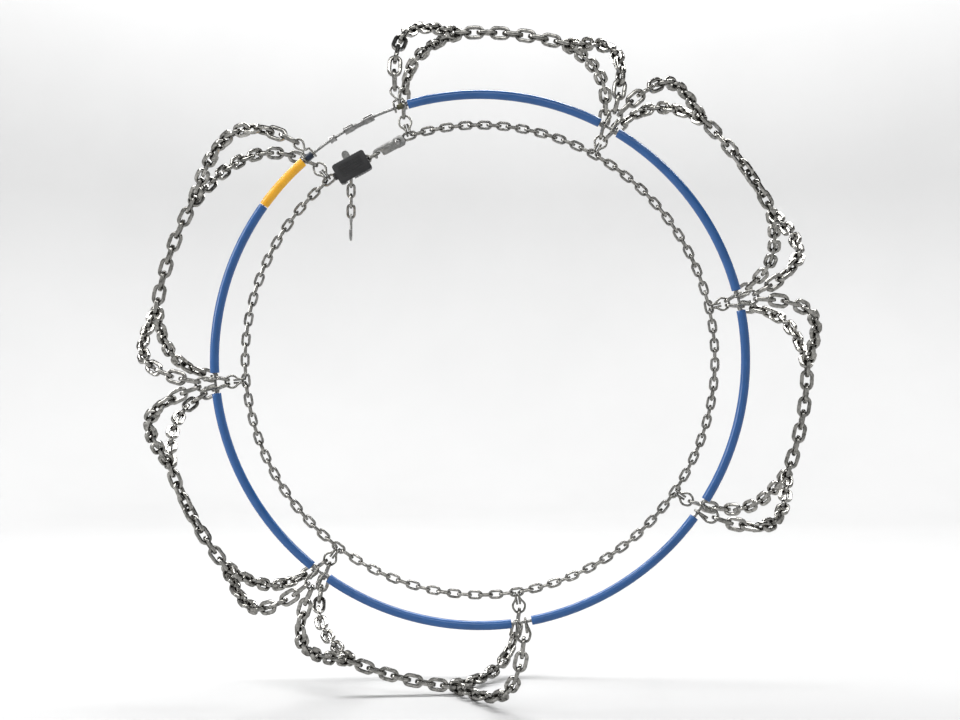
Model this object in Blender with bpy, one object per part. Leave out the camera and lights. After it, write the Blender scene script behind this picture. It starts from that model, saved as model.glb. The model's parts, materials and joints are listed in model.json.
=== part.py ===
"""A tyre snow chain in the shape it has on a wheel, without the wheel.

The wheel's axis is Y and its centre is the origin. The inboard side, at -Y, is a steel cable hoop in
plastic sleeves. The outboard side, at +Y, is a chain with a closing hook and a tensioner. Six cells of
chain lie over the tread between them. Angles are in degrees in the XZ plane, from +X towards +Z.
"""

import math

import bmesh
import bpy
import numpy as np
from mathutils import Vector

MM = 0.001

# The shape of the tyre that the chain is fitted to, as the middle line of the chain follows it
HOOP_RADIUS = 0.285
TRACK_RADIUS = 0.378
SIDE_Y = 0.128
SECTION_POWER = 3.5
INBOARD, OUTBOARD = -1, 1

# Where the net hangs on the side ropes, and which neighbours each cell of it joins
CLIP_ANGLES = (107.5, 61.0, 13.0, -34.0, -81.0, -127.0, -175.0, -230.0)
CELLS = ((0, 1), (1, 2), (2, 3), (4, 5), (5, 6), (6, 7))
SPREAD = 13.5
LAST_SPREAD = 21.0
START_OFFSET = 0.7
BEND_POWER = 1.25

# The net's chain: half the width over a link, and the inner corners of the cross that stands for it
CHAIN_HALF = 8.0 * MM
STAR_INNER = 0.293
START_HALF = 2.8 * MM
TAPER = 0.22
CLIP_REACH = 24.5 * MM
JUNCTION_GAP = 12.5 * MM
CORNER_LENGTH = 16.0 * MM

# The hoop
CABLE_R = 1.6 * MM
SLEEVE_R = 5.0 * MM
SLEEVE_BORE_R = 2.4 * MM
BARE_HALF_ANGLE = 2.2
FIRST_BARE_ANGLE = 1.7
YELLOW_FROM, YELLOW_TO = -228.3, -215.6
SLEEVE_STEPS = 6
SLEEVE_GAP_ANGLE = 0.17
CABLE_GAP_HALF_ANGLE = 0.25

# The clips
CLIP_WIRE_R = 1.4 * MM
CLIP_LEG = 4.45 * MM
CURL_GAP = 0.45 * MM
END_CLIP_WIRE_R = 1.2 * MM
END_CLIP_LEG = 5.9 * MM
END_CLIP_CORE = 2.3 * MM
SIDE_CLIP_LEG = 2.0 * MM
BUSH_BORE_R = 2.1 * MM

# The hoop's lock
LOCK_ANGLE = 117.15
LOCK_LENGTH = 35.0 * MM
LOCK_R = 4.25 * MM
LOCK_BORE_R = 3.3 * MM
LOCK_WINDOW = 13.0 * MM
LOCK_INSET = 0.3 * MM
STOP_ANGLE = 123.7
STOP_LENGTH = 7.5 * MM
STOP_R = 3.8 * MM

# The outboard side chain and the light links of the tensioner. The clips go round a link's outer wire
SIDE_CHAIN_RADIUS = 0.290
LIGHT_WIRE_R = 1.6 * MM
LIGHT_WIDTH = 11.5 * MM
LIGHT_LENGTH = 19.4 * MM
LINK_PLAY = 0.3 * MM
SIDE_HALF = LIGHT_WIDTH / 2
SIDE_END = 6.5 * MM
SIDE_CLIP_RADIUS = SIDE_CHAIN_RADIUS + LIGHT_WIDTH / 2 - LIGHT_WIRE_R

# The tensioner
HOUSING_LENGTH = 44.0 * MM
HOUSING_END_X = -2.0 * MM
HOUSING_HALF_Z = 13.0 * MM
HOUSING_BACK = -8.0 * MM
HOUSING_FRONT = 9.0 * MM
HOUSING_WALL = 3.0 * MM
CAM_X, CAM_Z = -24.0 * MM, 3.0 * MM
CAM_PIN_R = 2.2 * MM
HOOK_PIVOT_X = 40.5 * MM
HOOK_SEAT_X = 14.0 * MM
EXIT_X, EXIT_Z = -29.0 * MM, -6.5 * MM

GAP_ANGLE = (CLIP_ANGLES[0] + CLIP_ANGLES[-1] + 360.0) / 2
GAP_HALF_ANGLE = GAP_ANGLE - CLIP_ANGLES[0]
GAP_RADIUS = SIDE_CHAIN_RADIUS * math.cos(math.radians(GAP_HALF_ANGLE))


# ---------------------------------------------------------------- materials and objects


def make_material(name, colour, roughness, metallic):
    material = bpy.data.materials.new(name)
    material.use_nodes = True
    shader = material.node_tree.nodes["Principled BSDF"]
    shader.inputs["Base Color"].default_value = (*colour, 1.0)
    shader.inputs["Roughness"].default_value = roughness
    shader.inputs["Metallic"].default_value = metallic
    return material


def make_object(name, mesh, material):
    obj = bpy.data.objects.new(name, mesh)
    bpy.context.scene.collection.objects.link(obj)
    if material:
        own = material.copy()
        own.name = name
        mesh.materials.append(own)
    mesh.shade_smooth()
    mesh.set_sharp_from_angle(angle=math.radians(40))
    return obj


def finish_mesh(name, bm):
    bmesh.ops.recalc_face_normals(bm, faces=bm.faces)
    mesh = bpy.data.meshes.new(name)
    bm.to_mesh(mesh)
    bm.free()
    return mesh


def place(obj, parent=None, location=(0, 0, 0), angle=None):
    """Puts the object in its parent, or turns its Z to the radius at this angle."""
    obj.parent = parent
    obj.location = location
    if angle is not None:
        obj.rotation_euler = (0, math.radians(90 - angle), 0)
    return obj


def make_empty(name, location, angle):
    empty = bpy.data.objects.new(name, None)
    bpy.context.scene.collection.objects.link(empty)
    return place(empty, None, location, angle)


def boolean(target, other, operation):
    other.hide_render = True
    other.display_type = "WIRE"
    modifier = target.modifiers.new(operation.lower(), "BOOLEAN")
    modifier.operation = operation
    modifier.solver = "EXACT"
    modifier.object = other


# ---------------------------------------------------------------- lofted shapes


def circle_profile(sides):
    turns = [2 * math.pi * k / sides for k in range(sides)]
    return [(math.cos(turn), math.sin(turn)) for turn in turns]


def star_profile():
    """The cross that alternate flat and standing links fill, with four long points."""
    reach = [1.0 if k % 2 == 0 else STAR_INNER for k in range(8)]
    turns = [math.pi * k / 4 for k in range(8)]
    return [(r * math.cos(a), r * math.sin(a)) for r, a in zip(reach, turns)]


def tangents(points, closed):
    count = len(points)
    found = []
    for k in range(count):
        before = points[(k - 1) % count] if closed or k > 0 else points[k]
        after = points[(k + 1) % count] if closed or k < count - 1 else points[k]
        found.append((after - before).normalized())
    return found


def carried_normals(points):
    """A normal for each point of an open path, carried along it without twist."""
    along = tangents(points, False)
    normal = along[0].orthogonal().normalized()
    found = []
    for tangent in along:
        normal = (normal - normal.dot(tangent) * tangent).normalized()
        found.append(normal)
    return found


def rings_along(points, normals, scales, profile, closed):
    rings = []
    for point, normal, scale, tangent in zip(points, normals, scales, tangents(points, closed)):
        across = tangent.cross(normal).normalized()
        out = across.cross(tangent)
        rings.append([point + scale * (a * across + o * out) for a, o in profile])
    return rings


def bridge(bm, rings, closed):
    count, sides = len(rings), len(rings[0])
    for k in range(count if closed else count - 1):
        here, there = rings[k], rings[(k + 1) % count]
        for j in range(sides):
            i = (j + 1) % sides
            bm.faces.new((here[j], here[i], there[i], there[j]))


def loft(name, rings, closed=False, inner=None):
    """A solid through the rings, or a tube when there are inner rings as well."""
    bm = bmesh.new()
    outer = [[bm.verts.new(point) for point in ring] for ring in rings]
    bridge(bm, outer, closed)
    if inner:
        bore = [[bm.verts.new(point) for point in ring] for ring in inner]
        bridge(bm, bore, closed)
        for end in (0, -1):
            bridge(bm, [outer[end], bore[end]], False)
    elif not closed:
        bm.faces.new(outer[0])
        bm.faces.new(outer[-1])
    return finish_mesh(name, bm)


def wire_mesh(name, points, radius, sides=6):
    points = [Vector(point) for point in points]
    rings = rings_along(points, carried_normals(points), [radius] * len(points), circle_profile(sides), False)
    return loft(name, rings)


def tube_mesh(name, length, radius, bore, sides=12):
    """A straight tube along X, centred."""
    points = [Vector((-length / 2, 0, 0)), Vector((length / 2, 0, 0))]
    normals = [Vector((0, 0, 1))] * 2
    profile = circle_profile(sides)
    return loft(
        name,
        rings_along(points, normals, [radius] * 2, profile, False),
        inner=rings_along(points, normals, [bore] * 2, profile, False),
    )


def cylinder_mesh(name, radius, low, high, sides=16):
    """A solid cylinder along Y from low to high."""
    points = [Vector((0, low, 0)), Vector((0, high, 0))]
    rings = rings_along(points, [Vector((0, 0, 1))] * 2, [radius] * 2, circle_profile(sides), False)
    return loft(name, rings)


def box_mesh(name, low, high):
    bm = bmesh.new()
    bmesh.ops.create_cube(bm, size=1.0)
    for vert in bm.verts:
        vert.co = [a if c < 0 else b for a, b, c in zip(low, high, vert.co)]
    return finish_mesh(name, bm)


def plate_mesh(name, outline, low, high):
    """An outline in XZ, extruded along Y from low to high."""
    rings = [[Vector((x, y, z)) for x, z in outline] for y in (low, high)]
    return loft(name, rings)


def arc(centre_x, centre_z, radius, start, end, steps):
    angles = [math.radians(start + (end - start) * k / steps) for k in range(steps + 1)]
    return [(centre_x + radius * math.cos(a), centre_z + radius * math.sin(a)) for a in angles]


# ---------------------------------------------------------------- the tyre's shape


def tyre_section():
    """Distances along the half section from the hoop to the middle of the tread, with radius and Y."""
    turn = np.linspace(0, math.pi / 2, 2001)
    y = SIDE_Y * np.cos(turn) ** (2 / SECTION_POWER)
    radius = HOOP_RADIUS + (TRACK_RADIUS - HOOP_RADIUS) * np.sin(turn) ** (2 / SECTION_POWER)
    step = np.hypot(np.diff(y), np.diff(radius))
    return np.concatenate([[0], np.cumsum(step)]), radius, y


SECTION_S, SECTION_RADIUS, SECTION_Y = tyre_section()
SECTION_LENGTH = float(SECTION_S[-1])


def radial(angle):
    turn = math.radians(angle)
    return Vector((math.cos(turn), 0, math.sin(turn)))


def on_side(angle, radius, y):
    return radius * radial(angle) + Vector((0, y, 0))


def on_tyre(angle, distance, side):
    """The point of the chain's middle line this far from the hoop, and the outward normal there."""
    near = np.clip(distance + np.array([-1, 0, 1]) * MM, 0, SECTION_LENGTH)
    radius = np.interp(near, SECTION_S, SECTION_RADIUS).tolist()
    y = np.interp(near, SECTION_S, SECTION_Y).tolist()
    rise = Vector((radius[2] - radius[0], y[2] - y[0])).normalized()
    normal = -rise.y * radial(angle) + Vector((0, side * rise.x, 0))
    return on_side(angle, radius[1], side * y[1]), normal


def spread_of(clip):
    return LAST_SPREAD if clip == len(CLIP_ANGLES) - 1 else SPREAD


def branch_route(clip, turn, start, reach, steps):
    """(angle, distance) pairs from a clip towards the middle of the tread, turning the way given."""
    route = []
    for k in range(steps + 1):
        distance = start + (reach - start) * k / steps
        share = (distance - start) / (SECTION_LENGTH - start)
        offset = START_OFFSET + (spread_of(clip) - START_OFFSET) * share**BEND_POWER
        route.append((CLIP_ANGLES[clip] + turn * offset, distance))
    return route


# ---------------------------------------------------------------- the net


def net_piece(name, stations, scales, material):
    points = [point for point, _ in stations]
    normals = [normal for _, normal in stations]
    rings = rings_along(points, normals, scales, star_profile(), False)
    return make_object(name, loft(name, rings), material)


def scales_along(points, end_half):
    """Half the chain's width at each point: it grows from both ends, where the pieces crowd."""
    step = [0.0] + [(b - a).length for a, b in zip(points, points[1:])]
    gone = np.cumsum(step).tolist()
    left = [gone[-1] - a for a in gone]
    return [
        min(CHAIN_HALF, START_HALF + TAPER * a, end_half + TAPER * 1.6 * b) for a, b in zip(gone, left)
    ]


def inboard_branch(name, clip, turn, material):
    route = branch_route(clip, turn, CLIP_REACH, SECTION_LENGTH - JUNCTION_GAP, 10)
    stations = [on_tyre(angle, distance, INBOARD) for angle, distance in route]
    scales = scales_along([point for point, _ in stations], 4.0 * MM)
    return net_piece(name, stations, scales, material)


def corner(before, middle, after, steps=3):
    """Points that round off the corner at the middle one."""
    found = []
    for k in range(1, steps + 1):
        t = k / (steps + 1)
        weights = ((1 - t) ** 2, 2 * t * (1 - t), t * t)
        found.append(
            tuple(sum(w * p[axis] for w, p in zip(weights, (before, middle, after))) for axis in (0, 1))
        )
    return found


def tread_strand(name, first, last, material):
    """Up the outboard side, along the middle of the tread, and down again."""
    start = SIDE_CLIP_RADIUS - HOOP_RADIUS + CLIP_REACH
    up = branch_route(first, -1, start, SECTION_LENGTH - CORNER_LENGTH, 9)
    down = branch_route(last, 1, start, SECTION_LENGTH - CORNER_LENGTH, 9)
    run_start = CLIP_ANGLES[first] - spread_of(first)
    run_end = CLIP_ANGLES[last] + spread_of(last)
    inset = math.degrees(CORNER_LENGTH / TRACK_RADIUS)
    track = [(run_start - inset, SECTION_LENGTH), (run_end + inset, SECTION_LENGTH)]
    middle = [tuple(np.add(track[0], np.multiply(k / 3, np.subtract(track[1], track[0])))) for k in (1, 2)]
    route = (
        up
        + corner(up[-1], (run_start, SECTION_LENGTH), track[0])
        + [track[0], *middle, track[1]]
        + corner(track[1], (run_end, SECTION_LENGTH), down[-1])
        + down[::-1]
    )
    stations = [on_tyre(angle, distance, OUTBOARD) for angle, distance in route]
    scales = scales_along([point for point, _ in stations], START_HALF)
    return net_piece(name, stations, scales, material)


def build_net(steel):
    for number, (first, last) in enumerate(CELLS, 1):
        inboard_branch(f"inner_branch_{number}a", first, -1, steel)
        inboard_branch(f"inner_branch_{number}b", last, 1, steel)
        tread_strand(f"tread_strand_{number}", first, last, steel)


# ---------------------------------------------------------------- the hoop


def spread_angles(start, end, steps):
    return [start + (end - start) * k / steps for k in range(steps + 1)]


def sleeve_spans():
    """(name, start, end) of each sleeve, clockwise round the hoop."""
    spans = []
    for k, (here, there) in enumerate(zip(CLIP_ANGLES, CLIP_ANGLES[1:])):
        start = here - (FIRST_BARE_ANGLE if k == 0 else BARE_HALF_ANGLE)
        last = k == len(CLIP_ANGLES) - 2
        end = YELLOW_TO + SLEEVE_GAP_ANGLE if last else there + BARE_HALF_ANGLE
        spans.append((f"blue_sleeve_{k + 1}", start, end))
    spans.append(("yellow_sleeve", YELLOW_TO, YELLOW_FROM))
    return spans


def hoop_rings(angles, radius, sides):
    points = [on_side(angle, HOOP_RADIUS, -SIDE_Y) for angle in angles]
    normals = [radial(angle) for angle in angles]
    return rings_along(points, normals, [radius] * len(points), circle_profile(sides), False)


def build_hoop(cable_steel, blue, yellow):
    angles = {LOCK_ANGLE - CABLE_GAP_HALF_ANGLE, LOCK_ANGLE - 360 + CABLE_GAP_HALF_ANGLE, *CLIP_ANGLES}
    for name, start, end in sleeve_spans():
        span = spread_angles(start, end, SLEEVE_STEPS if name != "yellow_sleeve" else 2)
        angles.update(span)
        mesh = loft(name, hoop_rings(span, SLEEVE_R, 8), inner=hoop_rings(span, SLEEVE_BORE_R, 8))
        make_object(name, mesh, yellow if name == "yellow_sleeve" else blue)
    angles.update((LOCK_ANGLE - 4, LOCK_ANGLE - 360 + 4, STOP_ANGLE - 360))
    cable = loft("inner_cable", hoop_rings(sorted(angles, reverse=True), CABLE_R, 6))
    make_object("inner_cable", cable, cable_steel)


def build_lock(steel, bright):
    stop = make_object("stop_ferrule", tube_mesh("stop_ferrule", STOP_LENGTH, STOP_R, BUSH_BORE_R), bright)
    place(stop, None, on_side(STOP_ANGLE, HOOP_RADIUS, -SIDE_Y), STOP_ANGLE)

    barrel = make_object("lock_barrel", tube_mesh("lock_barrel", LOCK_LENGTH, LOCK_R, LOCK_BORE_R), steel)
    place(barrel, None, on_side(LOCK_ANGLE, HOOP_RADIUS - LOCK_INSET, -SIDE_Y), LOCK_ANGLE)
    low = (-LOCK_WINDOW / 2, -2 * LOCK_R, 0.4 * MM)
    high = (LOCK_WINDOW / 2, 2 * LOCK_R, 2 * LOCK_R)
    window = make_object("lock_window_cutter", box_mesh("lock_window_cutter", low, high), None)
    place(window, barrel)
    boolean(barrel, window, "DIFFERENCE")


# ---------------------------------------------------------------- clips


def curl(core, wire, leg):
    """Half a turn of wire under a rope along X, from its front to behind it."""
    reach = core + CURL_GAP + wire
    turns = [math.radians(a) for a in (0, -60, -120, -180)]
    return [(leg, reach * math.cos(a), reach * math.sin(a)) for a in turns]


def mirrored(half, top):
    return half + [(0, 0, top)] + [(-x, f, z) for x, f, z in half[::-1]]


def u_clip_points(core, leg):
    """Free ends in front of the rope, curls under it, and a wide bow that starts behind it."""
    front = core + CURL_GAP + CLIP_WIRE_R
    half = [(0.9 * leg, front, 11.5 * MM), (0.95 * leg, front, 6.0 * MM)]
    half += curl(core, CLIP_WIRE_R, leg)
    half += [
        (leg + 1.0 * MM, -0.8 * front, 4.5 * MM),
        (6.9 * MM, -0.5 * front, 10.0 * MM),
        (7.3 * MM, -0.3 * front, 14.5 * MM),
        (4.8 * MM, 0.0, 19.8 * MM),
    ]
    return mirrored(half, 21.4 * MM)


def end_clip_points(core):
    """Legs in front of the rope, a flat top across them, and a pear-shaped eye above it."""
    front = core + CURL_GAP + END_CLIP_WIRE_R
    half = curl(core, END_CLIP_WIRE_R, END_CLIP_LEG)[::-1]
    half += [
        (5.8 * MM, 0.9 * front, 5.4 * MM),
        (4.6 * MM, 0.7 * front, 7.0 * MM),
        (1.9 * MM, 0.6 * front, 7.6 * MM),
        (1.5 * MM, 0.5 * front, 9.4 * MM),
        (4.7 * MM, 0.2 * front, 15.5 * MM),
        (4.8 * MM, 0.0, 19.5 * MM),
        (2.6 * MM, 0.0, 22.0 * MM),
    ]
    return mirrored(half, 22.8 * MM)


def make_clip(name, points, wire, side, angle, radius, material):
    points = [(x, side * f, z) for x, f, z in points]
    clip = make_object(name, wire_mesh(name, points, wire), material)
    return place(clip, None, on_side(angle, radius, side * SIDE_Y), angle)


def build_clips(zinc):
    last = len(CLIP_ANGLES) - 1
    for k, angle in enumerate(CLIP_ANGLES):
        if k in (0, last):
            points, wire, kind = end_clip_points(END_CLIP_CORE), END_CLIP_WIRE_R, "end_clip"
        else:
            points, wire, kind = u_clip_points(CABLE_R, CLIP_LEG), CLIP_WIRE_R, "cable_clip"
        make_clip(f"{kind}_{k + 1}", points, wire, INBOARD, angle, HOOP_RADIUS, zinc)
        points = u_clip_points(LIGHT_WIRE_R, SIDE_CLIP_LEG)
        make_clip(f"side_clip_{k + 1}", points, CLIP_WIRE_R, OUTBOARD, angle, SIDE_CLIP_RADIUS, zinc)


def build_bushes(olive, navy):
    sizes = (("first_bush", 0, 7.0 * MM, 2.9 * MM, olive), ("last_bush", 7, 8.4 * MM, 4.1 * MM, navy))
    for name, clip, length, radius, material in sizes:
        bush = make_object(name, tube_mesh(name, length, radius, BUSH_BORE_R), material)
        angle = CLIP_ANGLES[clip]
        place(bush, None, on_side(angle, HOOP_RADIUS, -SIDE_Y), angle)


# ---------------------------------------------------------------- the outboard side


def build_side_chain(steel):
    """From the first clip clockwise to the last, a single wire under each clip and wide between them."""
    thin = math.degrees(6.0 * MM / SIDE_CHAIN_RADIUS)
    full = math.degrees(13.0 * MM / SIDE_CHAIN_RADIUS)
    end = math.degrees(SIDE_END / SIDE_CHAIN_RADIUS)
    stations = [(CLIP_ANGLES[0] + end, True)]
    for here, there in zip(CLIP_ANGLES, CLIP_ANGLES[1:]):
        if here != CLIP_ANGLES[0]:
            stations.append((here + thin, True))
        stations += [(here, True), (here - thin, True)]
        stations += [(angle, False) for angle in spread_angles(here - full, there + full, 5)]
    last = CLIP_ANGLES[-1]
    stations += [(last + thin, True), (last, True), (last - end, True)]
    radii = [SIDE_CLIP_RADIUS if at_clip else SIDE_CHAIN_RADIUS for _, at_clip in stations]
    points = [on_side(angle, radius, SIDE_Y) for (angle, _), radius in zip(stations, radii)]
    normals = [radial(angle) for angle, _ in stations]
    scales = [LIGHT_WIRE_R if at_clip else SIDE_HALF for _, at_clip in stations]
    rings = rings_along(points, normals, scales, star_profile(), False)
    make_object("side_chain", loft("side_chain", rings), steel)


def link_mesh(name, standing):
    """A light link along Z, whose top bow's middle is at the origin. Standing ones lie in YZ."""
    bow = LIGHT_WIDTH / 2 - LIGHT_WIRE_R
    reach = LIGHT_LENGTH / 2 - LIGHT_WIRE_R
    flat = arc(0, reach - bow, bow, 0, 180, 4) + arc(0, bow - reach, bow, 180, 360, 4)
    points = [Vector((0, a, b - reach) if standing else (a, 0, b - reach)) for a, b in flat]
    normal = Vector((1, 0, 0) if standing else (0, 1, 0))
    count = len(points)
    rings = rings_along(points, [normal] * count, [LIGHT_WIRE_R] * count, circle_profile(6), True)
    return loft(name, rings, closed=True)


LINK_REACH = LIGHT_LENGTH - 2 * LIGHT_WIRE_R
LINK_HOOKED = 2 * LIGHT_WIRE_R + LINK_PLAY


def build_clevis(parent, steel):
    """The fork at the side chain's end, with the closing hook's rivet across it."""
    low, high = (35 * MM, -4.8 * MM, -6.5 * MM), (49.2 * MM, 4.8 * MM, 6.5 * MM)
    fork = place(make_object("hook_clevis", box_mesh("hook_clevis", low, high), steel), parent)
    low, high = (34 * MM, -2.6 * MM, -8 * MM), (47.1 * MM, 2.6 * MM, 8 * MM)
    slot = place(make_object("clevis_slot_cutter", box_mesh("clevis_slot_cutter", low, high), None), parent)
    boolean(fork, slot, "DIFFERENCE")
    rivet = make_object("clevis_rivet", cylinder_mesh("clevis_rivet", 2.5 * MM, -6 * MM, 6 * MM, 12), None)
    place(rivet, parent, (HOOK_PIVOT_X, 0, 0))
    boolean(fork, rivet, "UNION")


def build_closing_hook(parent, steel):
    """A plate hook on the rivet. The notch in its lower edge holds the tension chain's first link."""
    eye = arc(0, 0, 6.2 * MM, -90, 90, 8)
    seat = arc(HOOK_SEAT_X - HOOK_PIVOT_X - 0.5 * MM, 0, 2.8 * MM, 0, 180, 4)
    tip = [(-30.0, -4.4), (-32.0, -5.6), (-34.2, -4.0), (-35.0, 1.0), (-32.5, 5.0), (-28.0, 6.2)]
    heel = [(-23.6, -2.0), (-23.4, -5.4), (-20.0, -6.2)]
    outline = eye + [(x * MM, z * MM) for x, z in tip[::-1]] + seat[::-1]
    outline += [(x * MM, z * MM) for x, z in heel]
    mesh = plate_mesh("closing_hook", outline, -2.2 * MM, 2.2 * MM)
    hook = place(make_object("closing_hook", mesh, steel), parent, (HOOK_PIVOT_X, 0, 0))
    bore = cylinder_mesh("hook_bore_cutter", 2.85 * MM, -4 * MM, 4 * MM, 12)
    cutter = place(make_object("hook_bore_cutter", bore, None), parent, (HOOK_PIVOT_X, 0, 0))
    boolean(hook, cutter, "DIFFERENCE")


def build_housing(parent, plastic):
    """A tray that is open to the front. The chain enters at one end and leaves through the lower side."""
    start = HOUSING_END_X - HOUSING_LENGTH
    low = (start, HOUSING_BACK, -HOUSING_HALF_Z)
    high = (HOUSING_END_X, HOUSING_FRONT, HOUSING_HALF_Z)
    housing = make_object("tensioner_housing", box_mesh("tensioner_housing", low, high), plastic)
    place(housing, parent)
    inner = HOUSING_HALF_Z - HOUSING_WALL
    floor = -6.2 * MM
    cuts = {
        "tray": ((start + 4 * MM, floor, -inner), (HOUSING_END_X - 4 * MM, 12 * MM, inner)),
        "inlet": ((HOUSING_END_X - 5 * MM, floor, -6.4 * MM), (3 * MM, 12 * MM, 6.4 * MM)),
        "outlet": ((-37.5 * MM, floor, -16 * MM), (-27.5 * MM, 12 * MM, -9 * MM)),
    }
    for name, (low, high) in cuts.items():
        name = f"housing_{name}_cutter"
        boolean(housing, place(make_object(name, box_mesh(name, low, high), None), parent), "DIFFERENCE")
    low, high = (start - 3.2 * MM, -3 * MM, -4.5 * MM), (start + 2 * MM, 3 * MM, 4.5 * MM)
    boolean(housing, place(make_object("housing_lug", box_mesh("housing_lug", low, high), None), parent), "UNION")


def build_cam(parent, steel, bright):
    """The lock cam turns on its pin inside the tray, and its lever lies in front of the tray."""
    teeth = []
    for k in range(9):
        turn = math.radians(-70 + 10 * k)
        reach = (6.4 if k % 2 else 5.4) * MM
        teeth.append((reach * math.cos(turn), reach * math.sin(turn)))
    outline = arc(0, 0, 5.2 * MM, 30, 270, 10) + teeth
    cam_mesh = plate_mesh("tensioner_cam", outline, -5.6 * MM, 9.8 * MM)
    cam = place(make_object("tensioner_cam", cam_mesh, steel), parent, (CAM_X, 0, CAM_Z))
    handle = arc(0, 0, 6.0 * MM, 180, 360, 8) + arc(0, 17 * MM, 4.5 * MM, 0, 180, 8)
    lever = make_object("cam_lever", plate_mesh("cam_lever", handle, 9.4 * MM, 12.4 * MM), None)
    boolean(cam, place(lever, parent, (CAM_X, 0, CAM_Z)), "UNION")
    bore = make_object("cam_bore_cutter", cylinder_mesh("cam_bore_cutter", 2.55 * MM, -8 * MM, 15 * MM, 12), None)
    boolean(cam, place(bore, parent, (CAM_X, 0, CAM_Z)), "DIFFERENCE")
    pin = make_object("cam_pin", cylinder_mesh("cam_pin", CAM_PIN_R, -5.9 * MM, 13.5 * MM, 12), bright)
    place(pin, parent, (CAM_X, 0, CAM_Z))
    head = make_object("cam_pin_head", cylinder_mesh("cam_pin_head", 4.2 * MM, 12.8 * MM, 14.4 * MM, 16), None)
    boolean(pin, place(head, parent, (CAM_X, 0, CAM_Z)), "UNION")


def build_tension_links(parent, steel):
    """The first link lies in the hook's notch, and the second goes into the housing."""
    for name, x, standing in (
        ("tension_link_1", HOOK_SEAT_X, True),
        ("tension_link_2", HOOK_SEAT_X - LINK_REACH + LINK_HOOKED, False),
    ):
        link = make_object(name, link_mesh(name, standing), steel)
        place(link, parent, (x, 0, 0))
        link.rotation_euler = (0, math.radians(90), 0)


def end_hook_mesh(name):
    """An eye round the last link's bow, a shank, and a hook, in the YZ plane below the origin."""
    eye = arc(0, -0.75 * MM, 4.25 * MM, -50, 222, 8)
    shank = [(-1.0 * MM, -6.6 * MM), (0, -9.0 * MM), (0, -20.0 * MM)]
    bend = arc(-6.0 * MM, -21.0 * MM, 6.0 * MM, 0, -180, 6)
    tip = [(-13.2 * MM, -15.5 * MM)]
    points = [(0, a, b) for a, b in eye + shank + bend + tip]
    return wire_mesh(name, points, LIGHT_WIRE_R)


def build_tail(parent, steel, bright):
    """Links that hang straight down from the housing, each turning on the bow above it."""
    exit_point = Vector((EXIT_X, 0, EXIT_Z))
    turn = math.radians(GAP_ANGLE - 90)
    upright = make_empty("tail_frame", (0, 0, 0), 90)
    upright.parent = parent
    upright.location = exit_point
    upright.rotation_euler = (0, turn, 0)
    place(make_object("exit_link", link_mesh("exit_link", True), steel), upright)
    below = upright
    for k in range(1, 5):
        name = f"tail_link_{k}" if k < 4 else "end_hook"
        joint = bpy.data.objects.new(f"{name}_joint", None)
        bpy.context.scene.collection.objects.link(joint)
        drop = LINK_REACH if k == 1 else LINK_REACH - LINK_HOOKED
        place(joint, below, (0, 0, -drop))
        mesh = link_mesh(name, k % 2 == 0) if k < 4 else end_hook_mesh(name)
        piece = make_object(name, mesh, steel if k < 4 else bright)
        place(piece, joint, (0, 0, LINK_HOOKED if k < 4 else 0))
        below = joint


def main():
    for obj in list(bpy.data.objects):
        bpy.data.objects.remove(obj, do_unlink=True)
    steel = make_material("chain steel", (0.62, 0.62, 0.60), 0.32, 1.0)
    bright = make_material("bright steel", (0.78, 0.78, 0.77), 0.25, 1.0)
    cable_steel = make_material("cable steel", (0.50, 0.50, 0.49), 0.40, 1.0)
    blue = make_material("blue plastic", (0.035, 0.13, 0.42), 0.30, 0.0)
    yellow = make_material("yellow plastic", (0.90, 0.52, 0.05), 0.38, 0.0)
    navy = make_material("navy plastic", (0.01, 0.03, 0.08), 0.35, 0.0)
    olive = make_material("dull brass", (0.24, 0.23, 0.15), 0.50, 1.0)
    plastic = make_material("black plastic", (0.02, 0.02, 0.022), 0.45, 0.0)

    build_hoop(cable_steel, blue, yellow)
    build_lock(steel, bright)
    build_clips(steel)
    build_bushes(olive, navy)
    build_net(steel)
    build_side_chain(steel)
    gap = make_empty("closing_gap", on_side(GAP_ANGLE, GAP_RADIUS, SIDE_Y), GAP_ANGLE)
    build_clevis(gap, steel)
    build_closing_hook(gap, bright)
    build_housing(gap, plastic)
    build_cam(gap, steel, bright)
    build_tension_links(gap, steel)
    build_tail(gap, steel, bright)


main()
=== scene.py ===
"""The looks of the snow chain: its real links, clips, sleeves and cable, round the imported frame.

The wheel's axis is Y and its centre is the origin. Angles are in degrees in the XZ plane, from +X
towards +Z. Lengths are in metres.
"""

import json
import math

import bmesh
import bpy
import numpy as np
from mathutils import Matrix, Vector


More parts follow.
